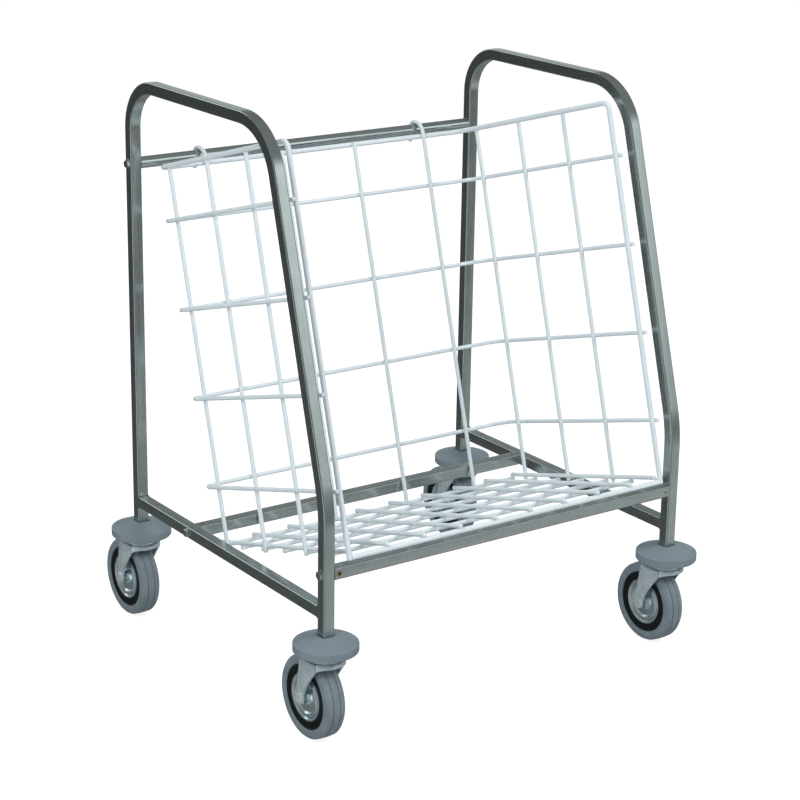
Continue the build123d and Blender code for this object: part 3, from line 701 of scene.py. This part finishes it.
def pressed_fork(corner, x, y):
    fork = Shape()
    fork.grid([[Vector((x + a * share, y + b * share, z)) for a, b in CROWN_OUTLINE]
               for share, z in CROWN_RINGS])
    fork.lathe((x, y, 0), CROWN_RACE_PROFILE)
    skirt = []
    for i in range(SKIRT_STEPS + 1):
        turn = math.radians(SKIRT_START + SKIRT_SPAN * i / SKIRT_STEPS)
        lower = SKIRT_LOWER - SKIRT_DROP * abs(2 * i / SKIRT_STEPS - 1) ** 4
        hem = ((SKIRT_RADIUS, lower + HEM_HEIGHT), (SKIRT_RADIUS - HEM_IN, lower))
        skirt.append([Vector((x + math.cos(turn) * r, y + math.sin(turn) * r, z))
                      for r, z in SKIRT_FOLD + hem])
    fork.sheet(skirt, -SKIRT_SHEET)
    for _, side in SIDES:
        rows = [leg_row(*level, side, x, y) for level in LEG_LEVELS]
        for lift in (0, 18, 36, 54, 72, 86):
            half = TIP_RADIUS * math.cos(math.radians(lift))
            z = WHEEL_RADIUS - TIP_RADIUS * math.sin(math.radians(lift))
            front, bend = TRAIL - half, TRAIL - 0.9 * half
            rows.append(leg_row(z, TIP_FACE, TRAIL + half, bend, (TIP_EDGE, front), side, x, y))
        fork.sheet(rows, FORK_SHEET * side)
    fork.piece(corner + "_pressed_fork", fork_zinc.material, corner + "_caster", "zinc_plated_steel",
               [corner + "_fork"], bevel=0.45)


# Axle bolts; profiles run outwards from the wheel's middle
SHANK_PROFILE = [(5, -21), (5, 21)]
AXLE_WASHER_PROFILE = ((8.3, 20.5), (8.3, 21.3), (8.0, 21.6), (4.8, 21.6))
AXLE_SEAT, AXLE_FLATS, AXLE_HEAD_RISE, AXLE_NUT_RISE = 21.6, 14.6, 3.9, 3.0
THREAD_PROFILE = [(4.7, 24.2), (4.2, 24.4), (4.7, 24.7), (4.2, 24.9), (4.5, 25.2), (3.9, 25.5), (0.1, 25.5)]


def axle_bolt(corner, x, y):
    """The head is on the left and the nut on the right."""
    centre = (x, y, WHEEL_RADIUS)
    axle = Shape()
    axle.lathe(centre, SHANK_PROFILE, "x", 32)
    for _, side in SIDES:
        axle.lathe(centre, [(r, side * h) for r, h in AXLE_WASHER_PROFILE], "x", 32)
    hexagon(axle, x - AXLE_SEAT, y, WHEEL_RADIUS, -1, AXLE_FLATS, AXLE_HEAD_RISE, 8)
    hexagon(axle, x + AXLE_SEAT, y, WHEEL_RADIUS, 1, AXLE_FLATS, AXLE_NUT_RISE, 40)
    axle.lathe(centre, THREAD_PROFILE, "x", 32)
    axle.piece(corner + "_axle_bolt", bolt_zinc.material, corner + "_caster", "zinc_plated_steel",
               [corner + "_axle"])


# Wheels: half profiles of (radius, distance from the wheel's middle, rounding)
TYRE_HALF = [(47.6, 13.2, 0.4), (49.2, 15.4, 1.2), (54.5, 16.0, 5), (59.6, 15.2, 3), (61.9, 12.2, 2),
             (62.3, 6.4, 0.4), (61.2, 6.0, 0.3), (61.2, 5.3, 0.3), (WHEEL_RADIUS, 5.0, 0.4)]
RIM_HALF = [(48.4, 13.0, 0.3), (47.6, 14.3, 0.4), (46.6, 14.3, 0.4), (45.4, 13.2, 0.6),
            (37.4, 12.7, 0.8), (34.8, 12.4, 0.5)]
HUB_HALF = [(35.8, 11.6, 0.2), (35.6, 14.2, 0.8), (33.0, 14.4, 0.9), (31.4, 11.8, 0.9),
            (29.4, 11.4, 1.0), (27.6, 13.8, 1.0), (25.2, 13.9, 1.2), (22.6, 10.6, 1.6),
            (14.5, 10.2, 1.6), (11.4, 12.0, 1.2), (10.6, 16.9, 0.8), (5.3, 17.2, 0.2)]


def ring(centre, half_profile, count):
    """A closed ring round the axle, with both halves alike."""
    other_half = [(r, -h, rounding) for r, h, rounding in half_profile[::-1]]
    return Shape().lathe(centre, half_profile + other_half, "x", count, closed=True)


def wheel(corner, x, y):
    centre, body = (x, y, WHEEL_RADIUS), corner + "_wheel"
    ring(centre, TYRE_HALF, 112).piece(corner + "_tyre", tyre.material, body, "grey_tyre", [body])
    ring(centre, RIM_HALF, 96).piece(corner + "_rim_ring", rim_plastic.material, body, "black_rim")
    ring(centre, HUB_HALF, 96).piece(corner + "_hub_discs", hub_zinc.material, body, "zinc_plated_steel")


for corner, x, y in CORNERS:
    pressed_fork(corner, x, y)
    axle_bolt(corner, x, y + TRAIL)
    wheel(corner, x, y + TRAIL)

# Floor: matte for light and shadow, and half glowing where the camera sees it
FLOOR_HALF = 9.0
FLOOR_GREY, FLOOR_GLOW, GLOW_SHARE = 0.62, 1.72, 0.5
floor_mesh = bpy.data.meshes.new("floor")
floor_mesh.from_pydata([(a * FLOOR_HALF, b * FLOOR_HALF, 0) for a, b in ((-1, -1), (1, -1), (1, 1), (-1, 1))],
                       [], [(0, 1, 2, 3)])
floor = bpy.data.objects.new("floor", floor_mesh)
bpy.context.scene.collection.objects.link(floor)
ground = bpy.data.materials.new("pale_floor")
ground.use_nodes = True
links, shaders = ground.node_tree.links, ground.node_tree.nodes
matte = shaders["Principled BSDF"]
matte.inputs["Base Color"].default_value = (FLOOR_GREY, FLOOR_GREY, FLOOR_GREY, 1)
matte.inputs["Roughness"].default_value = 0.9
matte.inputs["Specular IOR Level"].default_value = 0.0
glow, seen = shaders.new("ShaderNodeEmission"), shaders.new("ShaderNodeLightPath")
share, mix = shaders.new("ShaderNodeMath"), shaders.new("ShaderNodeMixShader")
glow.inputs["Strength"].default_value = FLOOR_GLOW
share.operation = "MULTIPLY"
share.inputs[1].default_value = GLOW_SHARE
links.new(seen.outputs["Is Camera Ray"], share.inputs[0])
links.new(share.outputs[0], mix.inputs[0])
links.new(matte.outputs[0], mix.inputs[1])
links.new(glow.outputs[0], mix.inputs[2])
links.new(mix.outputs[0], shaders["Material Output"].inputs["Surface"])
floor_mesh.materials.append(ground)
floor.visible_glossy = False

# Studio: plain light for surfaces, white where the camera looks past the trolley, and for
# reflections a grey room that is darker towards the rear left, with soft brighter and darker
# patches: (direction, cosine at the patch's edge, cosine where it is full, brightness added)
ROOM_GREY, ROOM_DARK = 0.26, 0.07
DARK_SIDE = ((-0.6, 0.78, -0.1), 0.45, 0.85)
PATCHES = (
    ((0.54, -0.81, -0.3), 0.88, 0.99, 0.32),  # front right and low
    ((0.53, -0.79, 0.33), 0.955, 1.0, 1.0),  # front right and high
    ((0.56, 0.82, 0.1), 0.975, 0.995, 0.45),  # rear right, nearly level
    ((0.5, 0.75, 0.6), 0.88, 0.98, -0.05),  # rear right and high
    ((-0.3, 0.8, 0.42), 0.93, 0.99, 1.2),  # rear and high
    ((-0.5, 0.75, -0.5), 0.95, 1.0, 0.05),  # rear left and low
    ((-0.95, 0.1, -0.25), 0.93, 0.99, 0.9),  # left
    ((0.457, -0.848, -0.285), 0.991, 0.998, -0.5),  # two narrow ones in the front right
    ((0.592, -0.79, -0.13), 0.98, 0.998, -0.45),
)
world = bpy.data.worlds.new("studio")
bpy.context.scene.world = world
world.use_nodes = True
links, shaders = world.node_tree.links, world.node_tree.nodes
plain = shaders["Background"]
plain.inputs["Color"].default_value = (0.92, 0.97, 1.0, 1)
plain.inputs["Strength"].default_value = 0.46
white, room = shaders.new("ShaderNodeBackground"), shaders.new("ShaderNodeBackground")
white.inputs["Color"].default_value = (1, 1, 1, 1)
white.inputs["Strength"].default_value = 1.0
room.inputs["Color"].default_value = (0.91, 1.0, 1.0, 1)
where = shaders.new("ShaderNodeTexCoord")


def toward(direction, start, end, low, high):
    """A brightness that goes from low to high as a reflection turns towards a direction."""
    dot, spread = shaders.new("ShaderNodeVectorMath"), shaders.new("ShaderNodeMapRange")
    dot.operation = "DOT_PRODUCT"
    dot.inputs[1].default_value = Vector(direction).normalized()
    spread.interpolation_type = "SMOOTHSTEP"
    for name, value in (("From Min", start), ("From Max", end), ("To Min", low), ("To Max", high)):
        spread.inputs[name].default_value = value
    links.new(where.outputs["Generated"], dot.inputs[0])
    links.new(dot.outputs["Value"], spread.inputs["Value"])
    return spread.outputs["Result"]


def total(first, second):
    add = shaders.new("ShaderNodeMath")
    links.new(first, add.inputs[0])
    links.new(second, add.inputs[1])
    return add.outputs[0]


brightness = toward(*DARK_SIDE, ROOM_GREY, ROOM_DARK)
for direction, start, end, amount in PATCHES:
    brightness = total(brightness, toward(direction, start, end, 0.0, amount))
links.new(brightness, room.inputs["Strength"])
seen, either = shaders.new("ShaderNodeLightPath"), shaders.new("ShaderNodeMath")
glossy_mix, camera_mix = shaders.new("ShaderNodeMixShader"), shaders.new("ShaderNodeMixShader")
either.operation = "MAXIMUM"
links.new(seen.outputs["Is Glossy Ray"], glossy_mix.inputs[0])
links.new(plain.outputs[0], glossy_mix.inputs[1])
links.new(room.outputs[0], glossy_mix.inputs[2])
links.new(seen.outputs["Is Camera Ray"], either.inputs[0])
links.new(seen.outputs["Is Transmission Ray"], either.inputs[1])
links.new(either.outputs[0], camera_mix.inputs[0])
links.new(glossy_mix.outputs[0], camera_mix.inputs[1])
links.new(white.outputs[0], camera_mix.inputs[2])
links.new(camera_mix.outputs[0], shaders["World Output"].inputs["Surface"])

LAMP_TARGET = Vector((0, 0, 0.4))


def lamp(name, place, size, energy):
    """A round soft lamp that reflections don't show."""
    light = bpy.data.lights.new(name, "AREA")
    light.shape, light.size, light.energy = "DISK", size, energy
    obj = bpy.data.objects.new(name, light)
    obj.location = place
    obj.rotation_euler = (LAMP_TARGET - Vector(place)).to_track_quat("-Z", "Y").to_euler()
    obj.visible_glossy = False
    bpy.context.scene.collection.objects.link(obj)


lamp("key", (2.0, -2.5, 3.3), size=2.0, energy=82)
lamp("fill", (-2.8, -1.4, 2.8), size=2.0, energy=62)
lamp("back", (0.6, 3.2, 2.6), size=2.0, energy=40)

# Camera, as solved from the photograph; angles in degrees
CAMERA_PLACE = (-1.8778, -2.6633, 1.4297)
LOOKING_DOWN, HEADING, ROLL = 17.906, -35.33, 0.921
FOCAL_PIXELS, PHOTO_PIXELS, SENSOR = 2220.7, 800, 36.0
lens = bpy.data.cameras.new("camera")
lens.sensor_width, lens.lens = SENSOR, FOCAL_PIXELS * SENSOR / PHOTO_PIXELS
lens.clip_start, lens.clip_end = 0.1, 60.0
camera = bpy.data.objects.new("camera", lens)
aim = Euler((math.radians(90 - LOOKING_DOWN), 0, math.radians(HEADING))).to_matrix()
aim = aim @ Matrix.Rotation(math.radians(ROLL), 3, "Z")
camera.matrix_world = Matrix.Translation(CAMERA_PLACE) @ aim.to_4x4()
bpy.context.scene.collection.objects.link(camera)
bpy.context.scene.camera = camera
bpy.context.scene.view_settings.view_transform = "Standard"
